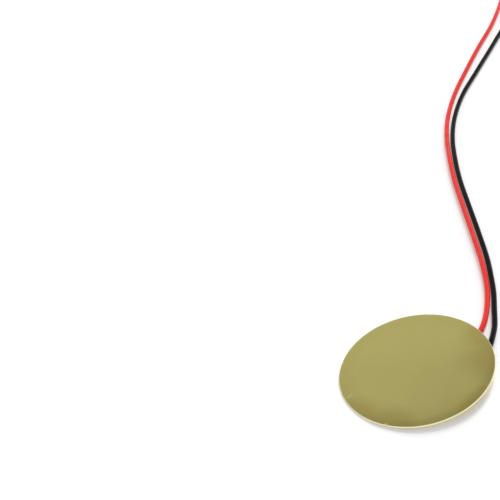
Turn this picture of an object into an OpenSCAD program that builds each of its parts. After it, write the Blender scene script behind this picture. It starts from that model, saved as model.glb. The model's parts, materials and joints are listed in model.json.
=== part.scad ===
// Piezo disc with two leads: a thin brass plate that carries a silvered piezo
// ceramic on one face. The red lead is soldered to the silver, the black lead
// to the brass beside it.
//
// The disc lies brass side up on a flat surface, z = 0. One edge touches the
// surface, and the other is raised by the leads that pass under it. The origin
// is the point of the surface under the middle of the plate, and the leads
// leave towards +X. Millimetres.

/* [Plate] */
// Diameter of the brass plate
plate_d = 35; // [33:1:50]
// Thickness of the brass plate
plate_t = 0.3; // [0.2:0.05:0.6]
// Radius that the punch rolls onto the rim of the upper face
rim_roll = 0.08; // [0.02:0.01:0.15]

/* [Ceramic] */
// Diameter of the ceramic disc
ceramic_d = 25; // [18:1:26]
// Thickness of the ceramic disc
ceramic_t = 0.19; // [0.1:0.01:0.4]
// Thickness of the silver fired onto each face of the ceramic
silver_t = 0.01; // [0.005:0.001:0.03]
// Width of the bare ring that the front silver leaves round the ceramic
silver_margin = 1; // [0.5:0.1:2]
// Thickness of the bond between the ceramic and the plate
bond_t = 0.02; // [0.01:0.005:0.05]
// Radius of the bead that the bond leaves round the ceramic
bond_bead = 0.15; // [0.05:0.01:0.2]

/* [Solder joints] */
// Distance from the edge of the front silver to the middle of the red joint
red_inset = 2.2; // [2:0.1:5]
// Bearing of the red joint from the middle of the plate
red_bearing = -9; // [-30:1:10]
// Bearing of the black joint from the middle of the plate
black_bearing = -25; // [-40:1:-12]
// Direction in which the red lead leaves its joint
red_heading = 30; // [0:1:60]
// Direction in which the black lead leaves its joint
black_heading = 50; // [0:1:70]
// Straight run of a joint between its round ends
solder_run = 0.8; // [0.2:0.1:1.2]
// Width of solder on each side of the strands
solder_side = 0.85; // [0.6:0.05:1]
// Thickness of solder over the strands
solder_cover = 0.2; // [0.1:0.05:0.4]
// Length of strand that the solder climbs beyond a joint's foot
solder_wick = 0.15; // [0:0.05:0.25]

/* [Leads] */
// Outside diameter of the insulation
lead_d = 1.3; // [1:0.05:1.6]
// Diameter of one tinned copper strand
strand_d = 0.16; // [0.12:0.01:0.2]
// Length in which a strand makes one turn
strand_lay = 7; // [4:0.5:12]
// Length of strand held in the solder behind the middle of a joint
strand_grip = 0.9; // [0.4:0.1:1]
// Length of bare strand between the solder and the insulation
bare_gap = 0.16; // [0.1:0.02:1]
// Gap between the insulation and the face that its strands are soldered to
lead_gap = 0.03; // [0.02:0.01:0.1]
// Length of the stripped and tinned free end
tip_l = 4; // [2:0.5:8]

/* [Hidden] */

brass = [0.68, 0.63, 0.38];
silver = [0.83, 0.82, 0.78];
cream = [0.85, 0.80, 0.66];
epoxy = [0.45, 0.36, 0.20];
tin = [0.72, 0.73, 0.75];
red_pvc = [0.90, 0.16, 0.13];
black_pvc = [0.08, 0.07, 0.08];

plate_r = plate_d / 2;
lead_r = lead_d / 2;
bundle_d = 3 * strand_d;
round_sides = 128;
small_sides = 32;

// Faces of the layers, downwards from the lower face of the plate
bond_face = -bond_t;
rear_silver_face = bond_face - silver_t;
ceramic_face = rear_silver_face - ceramic_t;
silver_face = ceramic_face - silver_t;

// Height of a lead's middle off the face of its joint
wire_h = lead_r + lead_gap;

// Foot and height of a mound of solder
mound_r = bundle_d / 2 + solder_side;
mound_h = wire_h + bundle_d / 2 + solder_cover;
mound_steps = 10;

// Distances from the middle of a joint to the tip of its solder and to the insulation
wick_tip = solder_run / 2 + mound_r + solder_wick;
bare_l = wick_tip + bare_gap;

// Each joint is [distance from the middle, bearing, heading, height of its face]
silver_r = ceramic_d / 2 - silver_margin;
rim_middle_r = (plate_r + ceramic_d / 2) / 2;
red_joint = [silver_r - red_inset, red_bearing, red_heading, silver_face];
black_joint = [rim_middle_r, black_bearing, black_heading, 0];

// The disc leans until the start of the red insulation lies on the surface
lean_run = plate_r + insulation_start(red_joint).x;
lean_drop = -insulation_start(red_joint).z;
lean = asin(lead_r / norm([lean_run, lean_drop])) + atan2(lean_drop, lean_run);

// Length over which each lead keeps the heading of its joint
lead_in = 2;
lead_sides = 8;
rings_per_step = 2;

// Points that each lead passes on its way, [x, y, height off the surface]
red_route = [[15.5, 2, 0], [19, 5, 0], [22.1, 9, 0], [25, 14, 0], [27.5, 19.5, 0],
    [30.3, 27.5, 0], [33.4, 38, 0], [36.8, 50, 0], [40.2, 61.5, 0], [44, 72.2, 0],
    [48.3, 82.8, 0], [53.9, 93.3, 0], [61.5, 104, 0], [71, 115, 0], [81, 126, 0],
    [91.5, 137, 0], [101.5, 149.5, 0], [112, 165, 0]];
black_route = [[18.4, -0.6, 0.5], [21.4, 3.7, 0.1], [24.3, 9.3, 0], [26.8, 14.3, 0],
    [29, 19.6, 0], [31.8, 27.2, 0], [34.9, 37.6, 0], [38.3, 49.6, 0], [41.6, 61, 0],
    [45.4, 71.7, 0], [49.7, 81.8, 0], [55.4, 91.8, 0], [63, 101.8, 0], [72.2, 111.2, 0],
    [82, 121, 0], [92.5, 131.5, 0], [104, 141.5, 0], [115.5, 149.5, 0], [127, 156, 0]];

red_path = lead_path(red_joint, red_route);
black_path = lead_path(black_joint, black_route);

// ---- Places -------------------------------------------------------------

// A direction or a point of the level disc, as it is on the leaning disc
function leaned(v) = [v.x * cos(lean) - v.z * sin(lean), v.y, v.x * sin(lean) + v.z * cos(lean)];
function seated(p) = leaned(p) + [0, 0, plate_r * sin(lean)];

function compass(angle) = [cos(angle), sin(angle), 0];

// Middle of the lead where its insulation starts, on the level disc
function insulation_start(joint) =
    joint[0] * compass(joint[1]) + bare_l * compass(joint[2]) + [0, 0, joint[3] - wire_h];

// Stands the level disc on its edge and its leads
module seat() {
    translate([0, 0, plate_r * sin(lean)]) rotate([0, -lean, 0]) children();
}

// Puts a joint on its face: its z points away from the plate, its x along the lead
module at_joint(joint) {
    seat() translate(joint[0] * compass(joint[1]) + [0, 0, joint[3]])
        rotate([0, 0, joint[2]]) rotate([180, 0, 0]) children();
}

// ---- Disc ---------------------------------------------------------------

// A flat layer between two heights
module layer(d, from, to) {
    seat() translate([0, 0, to]) cylinder(d = d, h = from - to, $fn = round_sides);
}

module plate_section() {
    square([plate_r - rim_roll, plate_t]);
    square([plate_r, plate_t - rim_roll]);
    translate([plate_r - rim_roll, plate_t - rim_roll]) circle(rim_roll, $fn = small_sides);
}

module brass_plate() {
    color(brass) seat() rotate_extrude($fn = round_sides) plate_section();
}

// The bond with the hollow bead in the corner round the ceramic
module bond_section() {
    translate([0, -bond_t]) square([ceramic_d / 2, bond_t]);
    translate([ceramic_d / 2, 0]) difference() {
        translate([0, -bond_bead]) square(bond_bead);
        translate([bond_bead, -bond_bead]) circle(bond_bead, $fn = small_sides);
    }
}

module bond_film() {
    color(epoxy) seat() rotate_extrude($fn = round_sides) bond_section();
}

module rear_silver() {
    color(silver) layer(ceramic_d, bond_face, rear_silver_face);
}

module ceramic_disc() {
    color(cream) layer(ceramic_d, rear_silver_face, ceramic_face);
}

module front_silver() {
    color(silver) layer(2 * silver_r, ceramic_face, silver_face);
}

// ---- Solder joints ------------------------------------------------------

// Height of the mound at a share of the way from its top to its foot
function mound_height(share) = mound_h * (1 + cos(180 * share)) / 2;

// Half of the mound's section: full at the top, hollow towards the foot
module half_mound() {
    polygon([[0, 0], for (i = [mound_steps:-1:0])
        [mound_r * i / mound_steps, mound_height(i / mound_steps)]]);
}

// A long mound: a straight run between two half rounds
module mound() {
    for (side = [0, 180])
        rotate([0, 0, side]) translate([solder_run / 2, 0, 0]) rotate([0, 0, -90])
            rotate_extrude(angle = 180, $fn = 64) half_mound();
    rotate([90, 0, 90]) linear_extrude(solder_run, center = true) {
        half_mound();
        mirror([1, 0]) half_mound();
    }
}

// Solder drawn out along the strands in a cone
module wick() {
    foot = (solder_run + mound_r) / 2;
    translate([foot, 0, wire_h]) rotate([0, 90, 0])
        cylinder(d1 = bundle_d + solder_cover, d2 = bundle_d + strand_d / 2,
            h = wick_tip - foot, $fn = small_sides);
}

module solder(joint) {
    color(tin) at_joint(joint) difference() {
        union() {
            mound();
            wick();
        }
        translate([-strand_grip, 0, wire_h]) rotate([0, 90, 0])
            cylinder(d = bundle_d, h = strand_grip + bare_l, $fn = small_sides);
    }
}

module red_solder() {
    solder(red_joint);
}

module black_solder() {
    solder(black_joint);
}

// ---- Strands ------------------------------------------------------------

// Six strands twisted round a seventh along +Z, with tin in the hollows between them
module strands(length) {
    turn = 360 * length / strand_lay;
    color(tin) linear_extrude(length, twist = -turn, slices = ceil(turn / 15)) {
        circle(strand_d, $fn = 12);
        for (angle = [0:60:300]) rotate(angle) translate([strand_d, 0])
            circle(d = strand_d, $fn = 12);
    }
}

module joint_strands(joint) {
    at_joint(joint) translate([-strand_grip, 0, wire_h]) rotate([0, 90, 0])
        strands(strand_grip + bare_l);
}

// The free end of a lead, in line with the end of its path
module tip_strands(path) {
    end = path[len(path) - 1];
    translate(end[0]) rotate([0, 90, atan2(end[1].y, end[1].x)]) strands(tip_l);
}

module red_joint_strands() {
    joint_strands(red_joint);
}

module black_joint_strands() {
    joint_strands(black_joint);
}

module red_tip_strands() {
    tip_strands(red_path);
}

module black_tip_strands() {
    tip_strands(black_path);
}

// ---- Leads --------------------------------------------------------------

// Point and slope of a smooth curve from b to c, at a share of the way
function curve_point(a, b, c, d, t) =
    b + t * (c - a) / 2 + t * t * (a - 2.5 * b + 2 * c - d / 2)
    + t * t * t * (1.5 * (b - c) + (d - a) / 2);
function curve_slope(a, b, c, d, t) =
    (c - a) / 2 + 2 * t * (a - 2.5 * b + 2 * c - d / 2)
    + 3 * t * t * (1.5 * (b - c) + (d - a) / 2);

// Keeps a lead from sinking below the surface that it lies on
function on_surface(p) = [p.x, p.y, max(p.z, lead_r)];

// A smooth path through the points, as a list of [point, slope]
function smooth(points) =
    let (last = len(points) - 1,
        p = [2 * points[0] - points[1], each points, 2 * points[last] - points[last - 1]])
    [for (i = [1:last], k = [0:rings_per_step - 1])
        let (t = k / rings_per_step)
        [on_surface(curve_point(p[i - 1], p[i], p[i + 1], p[i + 2], t)),
            curve_slope(p[i - 1], p[i], p[i + 1], p[i + 2], t)],
     [points[last], points[last] - points[last - 1]]];

// A lead from the start of its insulation, straight out of its joint, then on its route
function lead_path(joint, route) =
    let (start = seated(insulation_start(joint)))
    smooth([start, start + lead_in * leaned(compass(joint[2])),
        for (p = route) p + [0, 0, lead_r]]);

// Corners of the lead's section, square to its path
function ring(centre, slope) =
    let (side = cross([0, 0, 1], slope), up = cross(slope, side))
    [for (k = [0:lead_sides - 1])
        let (angle = 360 * k / lead_sides)
        centre + lead_r * (cos(angle) * side / norm(side) + sin(angle) * up / norm(up))];

// The insulated lead along its path
module lead(path) {
    last = len(path) - 1;
    points = [for (p = path) each ring(p[0], p[1])];
    walls = [for (i = [0:last - 1], k = [0:lead_sides - 1])
        let (next = (k + 1) % lead_sides, here = i * lead_sides, there = here + lead_sides)
        [here + next, here + k, there + k, there + next]];
    polyhedron(points, [
        [for (k = [0:lead_sides - 1]) k],
        each walls,
        [for (k = [lead_sides - 1:-1:0]) last * lead_sides + k]]);
}

module red_lead() {
    color(red_pvc) lead(red_path);
}

module black_lead() {
    color(black_pvc) lead(black_path);
}

brass_plate();
bond_film();
rear_silver();
ceramic_disc();
front_silver();
red_solder();
black_solder();
red_joint_strands();
black_joint_strands();
red_lead();
black_lead();
red_tip_strands();
black_tip_strands();
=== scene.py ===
"""The looks of a piezo disc that lies on a pale floor, with its two leads running away behind it."""

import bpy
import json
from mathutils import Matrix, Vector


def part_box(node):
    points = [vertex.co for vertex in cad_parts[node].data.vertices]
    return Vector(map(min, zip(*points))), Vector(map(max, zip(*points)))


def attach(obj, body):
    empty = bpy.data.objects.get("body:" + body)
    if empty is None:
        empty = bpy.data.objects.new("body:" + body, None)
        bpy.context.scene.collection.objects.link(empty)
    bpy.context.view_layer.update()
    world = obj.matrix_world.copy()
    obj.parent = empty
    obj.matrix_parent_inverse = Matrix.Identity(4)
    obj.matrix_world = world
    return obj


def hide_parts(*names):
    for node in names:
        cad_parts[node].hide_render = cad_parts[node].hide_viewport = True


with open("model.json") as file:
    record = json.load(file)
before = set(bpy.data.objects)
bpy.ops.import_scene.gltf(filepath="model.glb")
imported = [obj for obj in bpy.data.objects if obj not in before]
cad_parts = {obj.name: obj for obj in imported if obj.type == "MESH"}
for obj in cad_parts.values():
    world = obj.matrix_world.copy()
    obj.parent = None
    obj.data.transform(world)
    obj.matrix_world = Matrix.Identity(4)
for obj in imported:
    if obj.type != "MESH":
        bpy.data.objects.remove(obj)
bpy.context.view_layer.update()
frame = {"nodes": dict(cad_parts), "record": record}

import json
import math
import random
from collections import namedtuple

import bpy
from mathutils import Matrix, Vector

MM = 0.001

# ---- Sizes, from the frame where it holds them -------------------------------------------------

FACE = next(m for m in frame["record"]["mounts"] if m["name"] == "brass_face")


def half_width(cad_node):
    low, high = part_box(cad_node)
    return (high[1] - low[1]) / 2


PLATE_R = half_width("brass_plate")
CERAMIC_R = half_width("ceramic_disc")
SILVER_R = half_width("front_silver")
# The disc leans about Y, on its rim. SEAT takes a point of the level disc to its place on the
# leaning one, and heights on the level disc are from the lower face of the plate
LEAN = math.atan2(-FACE["axis"][0], FACE["axis"][2])
SEAT = Matrix.Translation((0, 0, PLATE_R * math.sin(LEAN))) @ Matrix.Rotation(-LEAN, 4, "Y")
PLATE_T = (SEAT.inverted() @ Vector(FACE["pos_m"])).z
# Heights of the faces that the joints are soldered to
PLATE_FACE = 0.0
SILVER_FACE = -0.23 * MM

LEAD_R = 0.65 * MM
# Gap between the insulation and the face that its strands are soldered to
LEAD_GAP = 0.03 * MM
STRAND_D = 0.16 * MM
# Length in which a strand makes one turn
STRAND_LAY = 7 * MM
# Length of strand held in the solder behind the middle of a joint
STRAND_GRIP = 0.9 * MM
# Length of the stripped and tinned free end
TIP_LENGTH = 4 * MM
# Radius of the twist of strands, and height of a lead's middle off the face of its joint
TWIST_R = 1.5 * STRAND_D
WIRE_H = LEAD_R + LEAD_GAP

# Distance from the edge of the front silver to the middle of the red joint
RED_INSET = 2.2 * MM
# Straight run of a joint between its round ends, width of solder on each side of the strands,
# its thickness over them, and the length of strand that it climbs beyond the foot of the joint
SOLDER_RUN = 0.8 * MM
SOLDER_SIDE = 0.85 * MM
SOLDER_COVER = 0.2 * MM
SOLDER_WICK = 0.15 * MM
# Length of bare strand between the solder and the insulation
BARE_GAP = 0.16 * MM
# Foot and height of a mound of solder, and distances from the middle of its joint to the tip of
# the solder and to the insulation
MOUND_R = TWIST_R + SOLDER_SIDE
MOUND_H = WIRE_H + TWIST_R + SOLDER_COVER
WICK_TIP = SOLDER_RUN / 2 + MOUND_R + SOLDER_WICK
BARE_LENGTH = WICK_TIP + BARE_GAP

# A joint: distance from the middle of the plate, bearing and heading in degrees, height of its face
Joint = namedtuple("Joint", "reach bearing heading face")
RED_JOINT = Joint(SILVER_R - RED_INSET, -9, 30, SILVER_FACE)
BLACK_JOINT = Joint((PLATE_R + CERAMIC_R) / 2, -25, 50, PLATE_FACE)

# ---- Camera --------------------------------------------------------------------------------------

CAMERA_AT = Vector((-57.79, -173.96, 172.98)) * MM
CAMERA_LOOKS = Vector((0.13175, 0.80359, -0.58042))
CAMERA_ROLL = math.radians(14.93)
# Focal length and sensor width in millimetres, and the nearest distance that shows in metres
CAMERA_LENS = 80
CAMERA_SENSOR = 36
CAMERA_NEAR = 0.01


def make_camera():
    data = bpy.data.cameras.new("camera")
    data.lens = CAMERA_LENS
    data.sensor_width = CAMERA_SENSOR
    data.clip_start = CAMERA_NEAR
    camera = bpy.data.objects.new("camera", data)
    camera.location = CAMERA_AT
    roll = Matrix.Rotation(CAMERA_ROLL, 4, CAMERA_LOOKS)
    aim = CAMERA_LOOKS.to_track_quat("-Z", "Y").to_matrix().to_4x4()
    camera.rotation_euler = (roll @ aim).to_euler()
    bpy.context.collection.objects.link(camera)
    bpy.context.scene.camera = camera


# ---- Mesh helpers --------------------------------------------------------------------------------

def evenly(first, last, count):
    """Numbers an equal step apart."""
    return [first + (last - first) * k / (count - 1) for k in range(count)]


def compass(degrees):
    """The level unit vector at a bearing from +X."""
    angle = math.radians(degrees)
    return Vector((math.cos(angle), math.sin(angle), 0))


def mesh_piece(name, verts, faces, material, slot, smooth_angle):
    """A piece from points and faces in the frame's metres, riding on the part."""
    mesh = bpy.data.meshes.new(name)
    mesh.from_pydata([tuple(v) for v in verts], [], faces)
    mesh.shade_smooth()
    mesh.set_sharp_from_angle(angle=math.radians(smooth_angle))
    mesh.materials.append(material)
    piece = bpy.data.objects.new(name, mesh)
    bpy.context.collection.objects.link(piece)
    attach(piece, "root")
    return piece


def loft(rings):
    """Points and faces of a closed skin over rings of equal length, from the first to the last."""
    count = len(rings[0])
    verts = [p for ring in rings for p in ring]
    faces = [list(range(count - 1, -1, -1))]
    for i in range(len(rings) - 1):
        here, there = i * count, (i + 1) * count
        for k in range(count):
            following = (k + 1) % count
            faces.append([here + k, here + following, there + following, there + k])
    faces.append([len(verts) - count + k for k in range(count)])
    return verts, faces


def joined(parts):
    """Points and faces of several skins as one."""
    verts, faces = [], []
    for part_verts, part_faces in parts:
        start = len(verts)
        verts += part_verts
        faces += [[start + k for k in face] for face in part_faces]
    return verts, faces


def across(direction):
    """Two unit vectors square to a direction, the first of them level."""
    side = Vector((0, 0, 1)).cross(direction).normalized()
    return side, direction.cross(side).normalized()


def ring_at(centre, direction, radius, sides):
    """Points of a round ring that faces along a direction."""
    side, up = across(direction)
    angles = [math.tau * k / sides for k in range(sides)]
    return [centre + radius * (math.cos(a) * side + math.sin(a) * up) for a in angles]


def shrunk(ring, share):
    """A ring drawn in towards its middle, to a share of its size."""
    centre = sum(ring, Vector()) / len(ring)
    return [centre + share * (p - centre) for p in ring]


# ---- Leads ---------------------------------------------------------------------------------------

# The points that each lead passes, in metres: x, y, height off the floor
RED_ROUTE = [
    (0.0155, 0.002, 0), (0.019, 0.005, 0), (0.0221, 0.009, 0), (0.025, 0.014, 0),
    (0.0275, 0.0195, 0), (0.0303, 0.0275, 0), (0.0334, 0.038, 0), (0.0368, 0.05, 0),
    (0.0402, 0.0615, 0), (0.044, 0.0722, 0), (0.0483, 0.0828, 0), (0.0539, 0.0933, 0),
    (0.0615, 0.104, 0), (0.071, 0.115, 0), (0.081, 0.126, 0), (0.0915, 0.137, 0),
    (0.1015, 0.1495, 0), (0.112, 0.165, 0),
]
BLACK_ROUTE = [
    (0.0184, -0.0006, 0.0005), (0.0214, 0.0037, 0.0001), (0.0243, 0.0093, 0), (0.0268, 0.0143, 0),
    (0.029, 0.0196, 0), (0.0318, 0.0272, 0), (0.0349, 0.0376, 0), (0.0383, 0.0496, 0),
    (0.0416, 0.061, 0), (0.0454, 0.0717, 0), (0.0497, 0.0818, 0), (0.0554, 0.0918, 0),
    (0.063, 0.1018, 0), (0.0722, 0.1112, 0), (0.082, 0.121, 0), (0.0925, 0.1315, 0),
    (0.104, 0.1415, 0), (0.1155, 0.1495, 0), (0.127, 0.156, 0),
]
# Length over which each lead keeps the heading of its joint
LEAD_IN = 2 * MM
# Sides of each ring of a lead, and points of its path between two points of its route
LEAD_SIDES = 24
STEPS_PER_POINT = 20
# Rings that close an end of the insulation, from the hole for the strands over the cut to its
# rounded edge: distance from the cut and radius
CUT_END = [(0.10 * MM, TWIST_R), (0, TWIST_R + 0.02 * MM), (0, LEAD_R - 0.09 * MM),
           (0.02 * MM, LEAD_R - 0.03 * MM), (0.07 * MM, LEAD_R)]

# Six strands lie round a seventh, each cut off shorter than the longest by some of these steps
STRANDS = 7
CUT_STEP = 0.02 * MM
STRAND_SIDES = 10
STRAND_RINGS_APART = 0.15 * MM
# A closed end narrows to this share of its ring before its flat face
BLUNT = 0.5


def insulation_start(joint):
    """Middle of the lead where its insulation starts."""
    place = joint.reach * compass(joint.bearing) + BARE_LENGTH * compass(joint.heading)
    return SEAT @ (place + Vector((0, 0, joint.face - WIRE_H)))


def lead_path(joint, route):
    """A smooth path through the route's points, on the floor from where the lead comes down.

    Between two points it is the cubic that runs at each of them in line with its neighbours.
    """
    start = insulation_start(joint)
    points = [start, start + LEAD_IN * (SEAT.to_3x3() @ compass(joint.heading))]
    points += [Vector((x, y, LEAD_R + height)) for x, y, height in route]
    points = [2 * points[0] - points[1], *points, 2 * points[-1] - points[-2]]
    path = []
    for a, b, c, d in zip(points, points[1:], points[2:], points[3:]):
        for k in range(STEPS_PER_POINT):
            t = k / STEPS_PER_POINT
            p = (b + t * (c - a) / 2 + t * t * (a - 2.5 * b + 2 * c - d / 2)
                 + t ** 3 * (1.5 * (b - c) + (d - a) / 2))
            path.append(Vector((p.x, p.y, max(p.z, LEAD_R))))
    path.append(points[-2])
    return path


def directions(path):
    """The direction of the path at each of its points."""
    last = len(path) - 1
    return [(path[min(i + 1, last)] - path[max(i - 1, 0)]).normalized() for i in range(last + 1)]


def cut_end(place, way, inwards):
    """Rings of a cut end. The lead runs from it along its way, or against it if inwards is -1."""
    return [ring_at(place + inwards * along * way, way, radius, LEAD_SIDES)
            for along, radius in CUT_END]


def lead_rings(path):
    """Rings of the insulation, with both ends cut square and their edges a little rounded."""
    ways = directions(path)
    start = cut_end(path[0], ways[0], 1)
    body = [ring_at(p, way, LEAD_R, LEAD_SIDES) for p, way in zip(path[1:-1], ways[1:-1])]
    end = cut_end(path[-1], ways[-1], -1)
    return [*start, *body, *reversed(end)]


def make_strands(name, start, way, length):
    """A twist of tinned strands, cut off a little unevenly."""
    side, up = across(way)
    parts = []
    for k in range(STRANDS):
        offset = STRAND_D if k else 0
        cut_length = length - CUT_STEP * ((k * 5) % STRANDS)
        rings = []
        for s in evenly(0, cut_length, round(length / STRAND_RINGS_APART)):
            turn = math.tau * (s / STRAND_LAY + k / (STRANDS - 1))
            centre = start + s * way + offset * (math.cos(turn) * side + math.sin(turn) * up)
            slant = math.tau * offset / STRAND_LAY
            lay = way + slant * (-math.sin(turn) * side + math.cos(turn) * up)
            rings.append(ring_at(centre, lay.normalized(), STRAND_D / 2, STRAND_SIDES))
        parts.append(loft([shrunk(rings[0], BLUNT), *rings, shrunk(rings[-1], BLUNT)]))
    return mesh_piece(name, *joined(parts), materials["tinned"], "tinned_strands", smooth_angle=50)


def make_lead(name, joint, route, material, slot):
    """An insulated lead and its stripped free end."""
    path = lead_path(joint, route)
    lead = mesh_piece(name, *loft(lead_rings(path)), material, slot, smooth_angle=50)
    way = directions(path)[-1]
    tip = make_strands(name.replace("lead", "tip"), path[-1], way, TIP_LENGTH)
    return lead, tip, path


# ---- Plate ---------------------------------------------------------------------------------------

# The punch bends the sheet down a little towards the rim, and rounds the top of the cut edge
DISHED_WIDTH = 2 * MM
DISHED_DEPTH = 0.03 * MM
EDGE_ROUND_WIDTH = 0.14 * MM
EDGE_ROUND_DEPTH = 0.04 * MM
EDGE_ROUND_BENDS = (18, 36, 54, 72, 90)
EDGE_TAPER = 0.08 * MM
BURR = 0.012 * MM
# Nicks in the rim: bearing in degrees, depth in millimetres, width in degrees
RIM_NICKS = [(-137, 0.12, 1.2), (141, 0.12, 1.2), (54, 0.08, 1.1)]
NICK_REACH = 0.4 * MM
# The rolled sheet is a little wavy, less and less over this width at the rim
WAVE_HEIGHT = 0.012 * MM
WAVES_FADE = 6 * MM

PLATE_SIDES = 480
# The rings of the lower face lie between these shares of the plate's radius
LOWER_SPAN = (0.02, 0.997)
LOWER_RINGS = 14
# The rings of the cut edge start this far up it, as a share of its height
WALL_FROM = 0.2
WALL_RINGS = 4
UPPER_RINGS = 76
# The rings of the upper face start this far inside its rounded edge, and end at this radius
FACE_INSET = 0.1 * MM
MIDDLE_R = 0.1 * MM


def waviness(x, y):
    """How far the rolled sheet rises or dips at a point of the plate, in metres."""
    x, y = x / MM, y / MM
    wave = (math.sin(0.21 * x + 0.9) * math.cos(0.16 * y - 0.4)
            + 0.5 * math.sin(0.33 * y + 0.12 * x)
            + 0.25 * math.sin(0.71 * x - 0.52 * y + 1.3))
    return WAVE_HEIGHT * wave


def rim_nick(angle):
    """Depth of the nicks in the rim at an angle, in metres."""
    depth = 0
    for bearing, deep, wide in RIM_NICKS:
        apart = (math.degrees(angle) - bearing + 180) % 360 - 180
        depth += deep * MM * math.exp(-(apart / wide) ** 2)
    return depth


def plate_profile():
    """Radius and height of each ring of the lower face, the cut edge and the upper face."""
    lower = [(share * PLATE_R, 0) for share in evenly(*LOWER_SPAN, LOWER_RINGS)]
    wall_top = PLATE_T - DISHED_DEPTH - EDGE_ROUND_DEPTH
    wall_r = PLATE_R - EDGE_TAPER
    cut = [(PLATE_R - BURR, 0), (PLATE_R, BURR)]
    cut += [(PLATE_R - EDGE_TAPER * share, BURR + (wall_top - BURR) * share)
            for share in evenly(WALL_FROM, 1, WALL_RINGS)]
    for bend in EDGE_ROUND_BENDS:
        inwards = EDGE_ROUND_WIDTH * (1 - math.cos(math.radians(bend)))
        cut.append((wall_r - inwards, wall_top + EDGE_ROUND_DEPTH * math.sin(math.radians(bend))))
    face_r = wall_r - EDGE_ROUND_WIDTH
    upper = []
    for radius in evenly(face_r - FACE_INSET, MIDDLE_R, UPPER_RINGS):
        dished = max(0, 1 - (face_r - radius) / DISHED_WIDTH)
        upper.append((radius, PLATE_T - DISHED_DEPTH * dished ** 2))
    return lower, cut, upper


def plate_ring(radius, height):
    """A ring of the plate, drawn in at the nicks and, on the upper face, as wavy as the sheet."""
    nicked = max(0, 1 - (PLATE_R - radius) / NICK_REACH)
    wavy = min(1, (PLATE_R - radius) / WAVES_FADE) if height > PLATE_T / 2 else 0
    ring = []
    for k in range(PLATE_SIDES):
        angle = math.tau * k / PLATE_SIDES
        r = radius - rim_nick(angle) * nicked
        x, y = r * math.cos(angle), r * math.sin(angle)
        ring.append(SEAT @ Vector((x, y, height + wavy * waviness(x, y))))
    return ring


def make_plate():
    """The plate, with its cut edge in clean metal, painted paler than the face as a bright rim
    highlight.
    """
    lower, cut, upper = plate_profile()
    rings = [plate_ring(radius, height) for radius, height in lower + cut + upper]
    plate = mesh_piece("plate", *loft(rings), materials["brass"], "brass", smooth_angle=40)
    plate.data.materials.append(materials["cut_brass_highlight"])
    first = 1 + len(lower) * PLATE_SIDES
    for face in plate.data.polygons[first:first + (len(cut) - 1) * PLATE_SIDES]:
        face.material_index = 1
    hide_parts("brass_plate")


# ---- Solder joints -------------------------------------------------------------------------------

SOLDER_SEED = 7
# A mound froze a little uneven: waves round its foot, and the least and most each draws it in
MOUND_WAVES = (2, 3, 5)
MOUND_UNEVEN = (0.01, 0.03)
MOUND_HALF_SIDES = 24
MOUND_RINGS = 22
# The topmost ring of a mound, as a share of its foot
MOUND_TOP = 0.03
# The solder drawn out along the strands: where it starts, and its thickness at its tip and there
WICK_START = 0.55 * MM
WICK_FILM = 0.02 * MM
WICK_FLARE = 0.12 * MM
WICK_RINGS = 14
WICK_SIDES = 32
WICK_BLUNT = 0.8


def joint_seat(joint):
    """Places a joint's own frame: z off its face, x along its lead."""
    place = joint.reach * compass(joint.bearing) + Vector((0, 0, joint.face))
    turn = Matrix.Rotation(math.radians(joint.heading), 4, "Z") @ Matrix.Rotation(math.pi, 4, "X")
    return SEAT @ Matrix.Translation(place) @ turn


def mound_rings(seed):
    """Rings of the mound of solder from its foot to its top."""
    rng = random.Random(seed)
    lobes = [(n, rng.uniform(*MOUND_UNEVEN), rng.uniform(0, math.tau)) for n in MOUND_WAVES]
    angles = evenly(-math.pi / 2, math.pi / 2, MOUND_HALF_SIDES + 1)
    outline = [(SOLDER_RUN / 2, a) for a in angles] + [(-SOLDER_RUN / 2, a + math.pi) for a in angles]
    rings = []
    for share in evenly(1, MOUND_TOP, MOUND_RINGS):
        ring = []
        for middle, a in outline:
            swell = 1 - sum(size * (1 + math.sin(n * a + phase)) / 2 for n, size, phase in lobes)
            r = MOUND_R * share * swell
            height = MOUND_H * (1 + math.cos(math.pi * share)) / 2
            ring.append(Vector((middle + r * math.cos(a), r * math.sin(a), height)))
        rings.append(ring)
    return rings


def wick_rings():
    """Rings of the solder drawn out along the strands."""
    along = Vector((1, 0, 0))
    rings = []
    for share in evenly(0, 1, WICK_RINGS):
        middle = Vector((WICK_START + share * (WICK_TIP - WICK_START), 0, WIRE_H))
        radius = TWIST_R + WICK_FILM + WICK_FLARE * (1 - share) ** 2
        rings.append(ring_at(middle, along, radius, WICK_SIDES))
    return [shrunk(rings[0], BLUNT), *rings, shrunk(rings[-1], WICK_BLUNT)]


def make_solder(name, joint, seed, cad_node):
    """A joint's mound of solder, and what of it ran out along the strands."""
    verts, faces = joined([loft(mound_rings(seed)), loft(wick_rings())])
    place = joint_seat(joint)
    solder = mesh_piece(name, [place @ v for v in verts], faces, materials["solder"], "solder",
                        smooth_angle=60)
    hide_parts(cad_node)


def make_joint_strands(name, joint, cad_node):
    """The strands of a lead, from inside its joint to the start of its insulation."""
    place = joint_seat(joint)
    start = place @ Vector((-STRAND_GRIP, 0, WIRE_H))
    way = (place.to_3x3() @ Vector((1, 0, 0))).normalized()
    strands = make_strands(name, start, way, STRAND_GRIP + BARE_LENGTH)
    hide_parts(cad_node)


# ---- Nodes ---------------------------------------------------------------------------------------

def node(tree, kind, inputs=None, **settings):
    """Adds a node with its settings, and gives each input a value or a link."""
    made = tree.nodes.new(kind)
    for name, value in settings.items():
        setattr(made, name, value)
    for name, value in (inputs or {}).items():
        if isinstance(value, bpy.types.NodeSocket):
            tree.links.new(value, made.inputs[name])
        else:
            made.inputs[name].default_value = value
    return made


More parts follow.
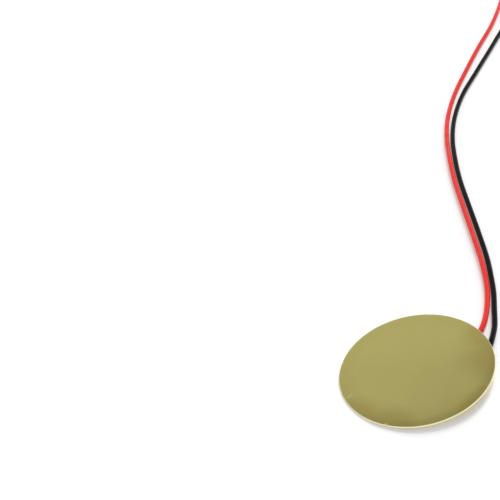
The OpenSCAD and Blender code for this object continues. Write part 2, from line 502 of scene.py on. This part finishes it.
def millimetres(tree, stretch=(1, 1, 1), turn=0):
    """Places on the part in millimetres, turned about the upright axis and then stretched.

    A noise of scale 1 there has as many waves per millimetre along each axis as the stretch.
    """
    place = node(tree, "ShaderNodeTexCoord").outputs["Object"]
    turned = node(tree, "ShaderNodeVectorRotate", {"Vector": place, "Angle": turn})
    scale = [s / MM for s in stretch]
    stretched = node(tree, "ShaderNodeVectorMath", {0: turned.outputs[0], 1: scale},
                     operation="MULTIPLY")
    return stretched.outputs[0]


def noise(tree, where, scale, detail=3, roughness=0.5):
    """Even cloudy noise about 0.5, with a scale in waves per millimetre."""
    inputs = {"Vector": where, "Scale": scale, "Detail": detail, "Roughness": roughness}
    return node(tree, "ShaderNodeTexNoise", inputs).outputs["Fac"]


def cells(tree, where, scale, randomness=1):
    """Distance from the middle of the nearest of many small cells."""
    inputs = {"Vector": where, "Scale": scale, "Randomness": randomness}
    return node(tree, "ShaderNodeTexVoronoi", inputs).outputs["Distance"]


def spread(tree, value, low, high, to_low=0, to_high=1):
    """Maps a value from one range to another, and keeps it there."""
    inputs = {"Value": value, "From Min": low, "From Max": high, "To Min": to_low, "To Max": to_high}
    return node(tree, "ShaderNodeMapRange", inputs).outputs["Result"]


def added(tree, first, second):
    return node(tree, "ShaderNodeMath", {0: first, 1: second}, operation="ADD").outputs[0]


def times(tree, first, second):
    return node(tree, "ShaderNodeMath", {0: first, 1: second}, operation="MULTIPLY").outputs[0]


def larger(tree, first, second):
    return node(tree, "ShaderNodeMath", {0: first, 1: second}, operation="MAXIMUM").outputs[0]


def blend(tree, share, first, second):
    """A colour between two others. Each is three numbers or a link."""
    inputs = {"Factor": share}
    for socket, colour in ((6, first), (7, second)):
        inputs[socket] = (*colour, 1) if isinstance(colour, tuple) else colour
    return node(tree, "ShaderNodeMix", inputs, data_type="RGBA").outputs[2]


def bump(tree, height, depth, strength, below=None):
    """A bump of a depth in millimetres, on top of another one."""
    inputs = {"Height": height, "Distance": depth * MM, "Strength": strength}
    if below:
        inputs["Normal"] = below
    return node(tree, "ShaderNodeBump", inputs).outputs["Normal"]


def distance_from(tree, place):
    """Distance of a point of the surface from a place, in millimetres."""
    here = node(tree, "ShaderNodeTexCoord").outputs["Object"]
    apart = node(tree, "ShaderNodeVectorMath", {0: here, 1: place}, operation="DISTANCE")
    return times(tree, apart.outputs["Value"], 1 / MM)


def new_material(name):
    material = bpy.data.materials.new(name)
    material.use_nodes = True
    material.node_tree.nodes.clear()
    return material, material.node_tree


def finish_material(tree, inputs):
    shader = node(tree, "ShaderNodeBsdfPrincipled", inputs)
    node(tree, "ShaderNodeOutputMaterial", {"Surface": shader.outputs[0]})


# ---- Brass ---------------------------------------------------------------------------------------

CLEAN_BRASS = (0.86, 0.775, 0.268)
# Darker brass, for tarnish and also for painted shade at the rim and at some places
TARNISHED_AND_SHADED_BRASS = (0.74, 0.625, 0.195)
STAINED_BRASS = (0.82, 0.60, 0.13)
# Bare metal, painted paler than clean brass as a glint
BARE_BRASS_GLINT = (1.0, 0.87, 0.38)
# The cut edge, painted paler than brass as a bright rim highlight
CUT_BRASS_HIGHLIGHT = (0.99, 0.935, 0.585)
STREAKED_BRASS_HIGHLIGHT = (0.95, 0.87, 0.49)

# Bearing in degrees and distance from the middle, in millimetres, of brown stains, of scuffs
# and of darker places, partly heavier tarnish and partly painted shade
STAINS = [(-73, 16.7), (-56, 16.6), (-78, 16.6)]
SCUFFS = [(178, 16.3)]
TARNISH_AND_SHADE_PLACES = [(-24, 15.5), (0, 18), (200, 18.5), (224, 17.5), (-69, 21)]
# How far a mark of each kind reaches, in millimetres
STAIN_SIZE = 1.2
SCUFF_SIZE = 1.3
TARNISH_AND_SHADE_SIZE = 7
NICK_SIZE = 0.6
# How far inside the rim the bare metal of a nick, painted paler as a glint, has its middle, in
# millimetres
NICK_INSET = 0.2
# The bearing that the short strokes of a scuff run along, in degrees
SCUFF_ALONG = 22
# The rim is darker, partly tarnish and partly painted shade, reaching a little further in from the
# near side than from the far side
CLEAN_MIDDLE = SEAT.translation + Vector((0.3, 0.8, 0)) * MM
CLEAN_TO = 13.5
DARKEST_RIM_FROM = 19.5
# Directions of the rolling lines and of two sets of fine scratches, in radians
ROLLED_ALONG = 0.35
SCRATCHED_ALONG = (1.1, -0.5)


def on_plate(bearing, reach):
    """A place on the upper face of the plate, from its bearing and distance in millimetres."""
    return SEAT @ (reach * MM * compass(bearing) + Vector((0, 0, PLATE_T)))


def marks(tree, places, size):
    """1 at each place on the plate, and 0 further from it than a size in millimetres."""
    mark = 0.0
    for bearing, reach in places:
        here = spread(tree, distance_from(tree, on_plate(bearing, reach)), size / 4, size, 1, 0)
        mark = larger(tree, mark, here)
    return mark


def scratches(tree, turn, amount):
    """Fine straight scratches in one direction: 1 on a scratch, 0 elsewhere."""
    lines = noise(tree, millimetres(tree, (0.12, 14, 1), turn), scale=1, detail=2)
    return spread(tree, lines, 0.74 - amount, 0.80 - amount)


def rubbed_bare_glint(tree):
    """1 where the rim is nicked and on the strokes of the scuffs, 0 elsewhere: bare metal, painted
    paler than clean brass as a glint.
    """
    nicks = [(bearing, PLATE_R / MM - NICK_INSET) for bearing, _, _ in RIM_NICKS]
    along = millimetres(tree, (0.4, 2.2, 1), -math.radians(SCUFF_ALONG))
    strokes = noise(tree, along, scale=1, detail=1)
    scuffed = times(tree, marks(tree, SCUFFS, SCUFF_SIZE), spread(tree, strokes, 0.45, 0.55))
    return added(tree, marks(tree, nicks, NICK_SIZE), scuffed)


def brass_colour(tree, where, bare):
    """Brass with a cloudy tarnish, a few stains and metal rubbed bare.

    Darker at the rim and at some places, partly tarnish and partly painted shade. The bare metal is
    painted paler than clean brass as a glint.
    """
    cloud = spread(tree, noise(tree, where, scale=0.07, detail=2), 0.4, 0.7, 0, 0.08)
    rim = spread(tree, distance_from(tree, CLEAN_MIDDLE), CLEAN_TO, DARKEST_RIM_FROM, 0, 0.7)
    heavy = times(tree, marks(tree, TARNISH_AND_SHADE_PLACES, TARNISH_AND_SHADE_SIZE), 0.95)
    # Cloudy tarnish, plus darkening at the rim and at some places that is partly tarnish and partly
    # painted shade
    tarnish = added(tree, added(tree, cloud, rim), heavy)
    toned = blend(tree, tarnish, CLEAN_BRASS, TARNISHED_AND_SHADED_BRASS)
    patchy = spread(tree, noise(tree, where, scale=1.6, detail=2), 0.38, 0.55)
    stain = times(tree, marks(tree, STAINS, STAIN_SIZE), patchy)
    stained = blend(tree, stain, toned, STAINED_BRASS)
    # Bare metal at nicks and scuffs, painted paler than clean brass as a glint
    return blend(tree, bare, stained, BARE_BRASS_GLINT)


def brass_material():
    """Rolled brass: fine rolling lines, light scratches, and duller where it is rubbed bare."""
    material, tree = new_material("brass")
    where = millimetres(tree)
    # Bare metal at nicks and scuffs: rougher, and painted paler as a glint
    bare = rubbed_bare_glint(tree)
    rolled = noise(tree, millimetres(tree, (0.04, 6, 1), ROLLED_ALONG), scale=1, detail=3)
    scratched = added(tree, scratches(tree, SCRATCHED_ALONG[0], 0),
                      scratches(tree, SCRATCHED_ALONG[1], 0.01))
    dull = spread(tree, noise(tree, where, scale=0.5, detail=5, roughness=0.6), 0.45, 0.7, 0, 0.02)
    gloss = added(tree, spread(tree, rolled, 0.3, 0.7, 0.09, 0.12), dull)
    rough = added(tree, added(tree, gloss, times(tree, scratched, 0.1)), times(tree, bare, 0.4))
    lines = bump(tree, rolled, depth=0.01, strength=0.3)
    finish_material(tree, {
        "Base Color": brass_colour(tree, where, bare), "Metallic": 1, "Roughness": rough,
        "Normal": bump(tree, scratched, depth=-0.004, strength=0.4, below=lines)})
    return material


def cut_brass_material():
    """The punched edge: clean metal drawn out in upright streaks, painted paler than brass as a
    bright rim highlight.
    """
    material, tree = new_material("cut_brass_highlight")
    streaks = noise(tree, millimetres(tree, (6, 6, 0.6)), scale=1, detail=3)
    finish_material(tree, {
        "Base Color": blend(tree, streaks, CUT_BRASS_HIGHLIGHT, STREAKED_BRASS_HIGHLIGHT), "Metallic": 1,
        "Roughness": spread(tree, streaks, 0.3, 0.7, 0.22, 0.4),
        "Normal": bump(tree, streaks, depth=0.02, strength=0.5)})
    return material


# ---- Other materials -----------------------------------------------------------------------------

RED_VINYL = (0.92, 0.026, 0.018)
RUBBED_RED_VINYL = (0.92, 0.038, 0.027)
RED_GLOSS = 0.32
BLACK_VINYL = (0.003, 0.002, 0.003)
RUBBED_BLACK_VINYL = (0.006, 0.005, 0.006)
BLACK_GLOSS = 0.11
TIN = (0.62, 0.61, 0.60)
THIN_TIN = (0.42, 0.40, 0.38)
SOLDER = (0.68, 0.68, 0.69)
FLUXED_SOLDER = (0.54, 0.53, 0.50)
SILVER = (0.82, 0.81, 0.77)
GREY_SILVER = (0.66, 0.64, 0.59)
FLUX = (0.62, 0.46, 0.24)
CERAMIC = (0.74, 0.66, 0.46)
DARKER_CERAMIC = (0.65, 0.57, 0.39)
SPECK = (0.30, 0.24, 0.16)
EPOXY = (0.52, 0.38, 0.17)
THICK_EPOXY = (0.34, 0.22, 0.08)
# Where flux lies thick and where it ends, in millimetres from the middle of a joint
FLUX_FROM = 1.2
FLUX_TO = 3.2


def vinyl_material(name, colour, rubbed, gloss):
    """Soft drawn vinyl, with a fine uneven skin and a faint rub of handling."""
    material, tree = new_material(name)
    where = millimetres(tree)
    rub = spread(tree, noise(tree, where, scale=0.3, detail=4, roughness=0.6), 0.35, 0.7)
    fine = noise(tree, where, scale=3.5, detail=4, roughness=0.6)
    finish_material(tree, {
        "Base Color": blend(tree, rub, colour, rubbed),
        "Roughness": added(tree, spread(tree, fine, 0.3, 0.7, 0.22, 0.3), times(tree, rub, 0.06)),
        "Specular IOR Level": gloss,
        "Normal": bump(tree, fine, depth=0.02, strength=0.3)})
    return material


def tinned_material():
    """Dip-tinned copper strands, dull where the tin has run thin."""
    material, tree = new_material("tinned")
    dull = noise(tree, millimetres(tree), scale=2.5, detail=4, roughness=0.6)
    finish_material(tree, {
        "Base Color": blend(tree, dull, TIN, THIN_TIN), "Metallic": 1,
        "Roughness": spread(tree, dull, 0.3, 0.7, 0.2, 0.42),
        "Normal": bump(tree, dull, depth=0.02, strength=0.4)})
    return material


def solder_material():
    """Bright solder with the faint grain that it froze with, and a patchy film of flux."""
    material, tree = new_material("solder")
    where = millimetres(tree)
    grain = cells(tree, where, scale=6)
    film = noise(tree, where, scale=1.1, detail=3)
    finish_material(tree, {
        "Base Color": blend(tree, film, SOLDER, FLUXED_SOLDER), "Metallic": 1,
        "Roughness": spread(tree, grain, 0, 0.7, 0.16, 0.32),
        "Normal": bump(tree, grain, depth=0.015, strength=0.35)})
    return material


def flux_halo(tree, joint):
    """Where flux spread round a joint: 1 at its foot, fading out unevenly."""
    away = distance_from(tree, joint_seat(joint).translation)
    near = spread(tree, away, FLUX_FROM, FLUX_TO, 1, 0)
    patchy = spread(tree, noise(tree, millimetres(tree), scale=0.9, detail=4), 0.35, 0.6, 0.2, 1)
    return times(tree, near, patchy)


def silver_material():
    """Fired silver paste: the weave of its printing screen, grey clouds and flux round the joint."""
    material, tree = new_material("silver")
    where = millimetres(tree)
    weave = cells(tree, where, scale=6, randomness=0.3)
    clouds = spread(tree, noise(tree, where, scale=0.35, detail=4, roughness=0.6), 0.35, 0.7)
    paste = blend(tree, clouds, SILVER, GREY_SILVER)
    finish_material(tree, {
        "Base Color": blend(tree, flux_halo(tree, RED_JOINT), paste, FLUX), "Metallic": 0.85,
        "Roughness": spread(tree, weave, 0, 0.8, 0.38, 0.52),
        "Normal": bump(tree, weave, depth=0.01, strength=0.4)})
    return material


def ceramic_material():
    """Fired ceramic: cream, finely grained, with a few darker specks."""
    material, tree = new_material("ceramic")
    where = millimetres(tree)
    clouds = noise(tree, where, scale=0.6, detail=4, roughness=0.6)
    grain = noise(tree, where, scale=9, detail=3, roughness=0.6)
    specks = spread(tree, noise(tree, where, scale=5, detail=1), 0.72, 0.76, 0, 0.6)
    cream = blend(tree, clouds, CERAMIC, DARKER_CERAMIC)
    finish_material(tree, {
        "Base Color": blend(tree, specks, cream, SPECK),
        "Roughness": spread(tree, grain, 0.3, 0.7, 0.5, 0.7),
        "Normal": bump(tree, grain, depth=0.01, strength=0.4)})
    return material


def bond_material():
    """Cured epoxy: amber and glossy, in darker and paler patches."""
    material, tree = new_material("bond")
    thick = noise(tree, millimetres(tree), scale=0.8, detail=4)
    finish_material(tree, {
        "Base Color": blend(tree, thick, EPOXY, THICK_EPOXY),
        "Roughness": spread(tree, thick, 0.3, 0.7, 0.14, 0.3),
        "Normal": bump(tree, thick, depth=0.03, strength=0.3)})
    return material


# ---- Floor and light -----------------------------------------------------------------------------

# Half the width of the floor, in metres
FLOOR_HALF = 6.0
FLOOR_TONE = 0.93
# Light that the floor adds where it is seen, so that it is white wherever no shadow falls
FLOOR_LIFT = 0.19

# Brightness of the studio at angles above the horizon, in degrees: white low down, dimmer overhead
STUDIO = [(-90, 1), (14, 1), (24, 0.66), (34, 0.565), (41, 0.52), (43, 0.49), (47, 0.447),
          (60, 0.41), (90, 0.50)]
# A round soft panel stands in this direction. It is whole out to its core and gone at its edge,
# both in degrees from its middle, and off it the studio keeps only a share of its brightness
PANEL_TOWARDS = Vector((0.11, 0.852, 0.512))
PANEL_CORE = 15.5
PANEL_EDGE = 19.2
OFF_PANEL = 0.76
# Low down the studio keeps it all: the share sets in between these angles above the horizon
DIMMING_FROM = 16
DIMMING_TO = 24


def floor_material():
    """A matt pale floor that the camera and gloss see as white wherever no shadow falls."""
    material, tree = new_material("floor")
    matt = node(tree, "ShaderNodeBsdfDiffuse", {"Color": (FLOOR_TONE, FLOOR_TONE, FLOOR_TONE, 1)})
    lift = node(tree, "ShaderNodeEmission", {"Strength": FLOOR_LIFT})
    rays = node(tree, "ShaderNodeLightPath").outputs
    glossy = added(tree, rays["Is Glossy Ray"], rays["Is Transmission Ray"])
    seen = added(tree, rays["Is Camera Ray"], glossy)
    lifted = node(tree, "ShaderNodeAddShader", {0: matt.outputs[0], 1: lift.outputs[0]})
    shown = node(tree, "ShaderNodeMixShader", {0: seen, 1: matt.outputs[0], 2: lifted.outputs[0]})
    node(tree, "ShaderNodeOutputMaterial", {"Surface": shown.outputs[0]})
    return material


def make_floor():
    corners = [(-FLOOR_HALF, -FLOOR_HALF, 0), (FLOOR_HALF, -FLOOR_HALF, 0),
               (FLOOR_HALF, FLOOR_HALF, 0), (-FLOOR_HALF, FLOOR_HALF, 0)]
    mesh = bpy.data.meshes.new("floor")
    mesh.from_pydata(corners, [], [(0, 1, 2, 3)])
    mesh.materials.append(floor_material())
    floor = bpy.data.objects.new("floor", mesh)
    bpy.context.collection.objects.link(floor)


def studio_ramp(tree, height):
    """The brightness of the studio, from the sine of the angle above the horizon."""
    ramp = node(tree, "ShaderNodeValToRGB", {"Fac": spread(tree, height, -1, 1)})
    points = ramp.color_ramp.elements
    while len(points) < len(STUDIO):
        points.new(0.5)
    for point, (angle, level) in zip(points, STUDIO):
        point.position = (math.sin(math.radians(angle)) + 1) / 2
        point.color = (level, level, level, 1)
    return ramp.outputs["Color"]


def make_world():
    """The studio round the object: a ramp of brightness, with a round panel in it."""
    world = bpy.data.worlds.new("studio")
    bpy.context.scene.world = world
    world.use_nodes = True
    tree = world.node_tree
    tree.nodes.clear()
    towards = node(tree, "ShaderNodeTexCoord").outputs["Generated"]
    height = node(tree, "ShaderNodeSeparateXYZ", {0: towards}).outputs["Z"]
    facing = node(tree, "ShaderNodeVectorMath", {0: towards, 1: PANEL_TOWARDS},
                  operation="DOT_PRODUCT")
    panel = node(tree, "ShaderNodeMapRange", {
        "Value": facing.outputs["Value"], "To Min": OFF_PANEL, "To Max": 1,
        "From Min": math.cos(math.radians(PANEL_EDGE)),
        "From Max": math.cos(math.radians(PANEL_CORE))}, interpolation_type="SMOOTHSTEP")
    low = spread(tree, height, math.sin(math.radians(DIMMING_FROM)),
                 math.sin(math.radians(DIMMING_TO)), 1, 0)
    sky = node(tree, "ShaderNodeBackground", {
        "Color": studio_ramp(tree, height), "Strength": larger(tree, panel.outputs["Result"], low)})
    node(tree, "ShaderNodeOutputWorld", {"Surface": sky.outputs[0]})


def make_lamp(name, share, bearing, height, width):
    """A soft far lamp that gives a share of the light on the floor. Angles are in degrees.

    Gloss shows the studio and not the lamps, so that the brass has no glare in it.
    """
    bearing, height = math.radians(bearing), math.radians(height)
    data = bpy.data.lights.new(name, "SUN")
    data.energy = math.pi * share / math.sin(height)
    data.angle = math.radians(width)
    light = bpy.data.objects.new(name, data)
    level = math.cos(height)
    away = Vector((level * math.cos(bearing), level * math.sin(bearing), math.sin(height)))
    light.rotation_euler = away.to_track_quat("Z", "Y").to_euler()
    light.visible_glossy = False
    bpy.context.collection.objects.link(light)


# ---- The scene -----------------------------------------------------------------------------------

make_camera()
materials = {
    "brass": brass_material(),
    "cut_brass_highlight": cut_brass_material(),
    "red": vinyl_material("red_vinyl", RED_VINYL, RUBBED_RED_VINYL, RED_GLOSS),
    "black": vinyl_material("black_vinyl", BLACK_VINYL, RUBBED_BLACK_VINYL, BLACK_GLOSS),
    "tinned": tinned_material(),
    "solder": solder_material(),
    "silver": silver_material(),
    "ceramic": ceramic_material(),
    "bond": bond_material(),
}

for colour, joint, route in (("red", RED_JOINT, RED_ROUTE), ("black", BLACK_JOINT, BLACK_ROUTE)):
    lead, tip, path = make_lead(f"{colour}_wire_lead", joint, route, materials[colour],
                                f"{colour}_insulation")
    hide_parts(f"{colour}_lead")
    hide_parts(f"{colour}_tip_strands")

make_plate()
make_solder("red_solder_joint", RED_JOINT, SOLDER_SEED, "red_solder")
make_solder("black_solder_joint", BLACK_JOINT, SOLDER_SEED + 1, "black_solder")
make_joint_strands("red_strands", RED_JOINT, "red_joint_strands")
make_joint_strands("black_strands", BLACK_JOINT, "black_joint_strands")

for cad_node, finish in (("ceramic_disc", "ceramic"), ("bond_film", "bond"),
                         ("front_silver", "silver"), ("rear_silver", "silver")):
    mesh = frame["nodes"][cad_node].data
    mesh.materials.clear()
    mesh.materials.append(materials[finish])

make_floor()
make_world()
make_lamp("behind", share=0.30, bearing=50, height=32, width=16)
make_lamp("low", share=0.14, bearing=45, height=16, width=16)
make_lamp("overhead", share=0.06, bearing=0, height=80, width=70)

bpy.context.scene.view_settings.view_transform = "Standard"
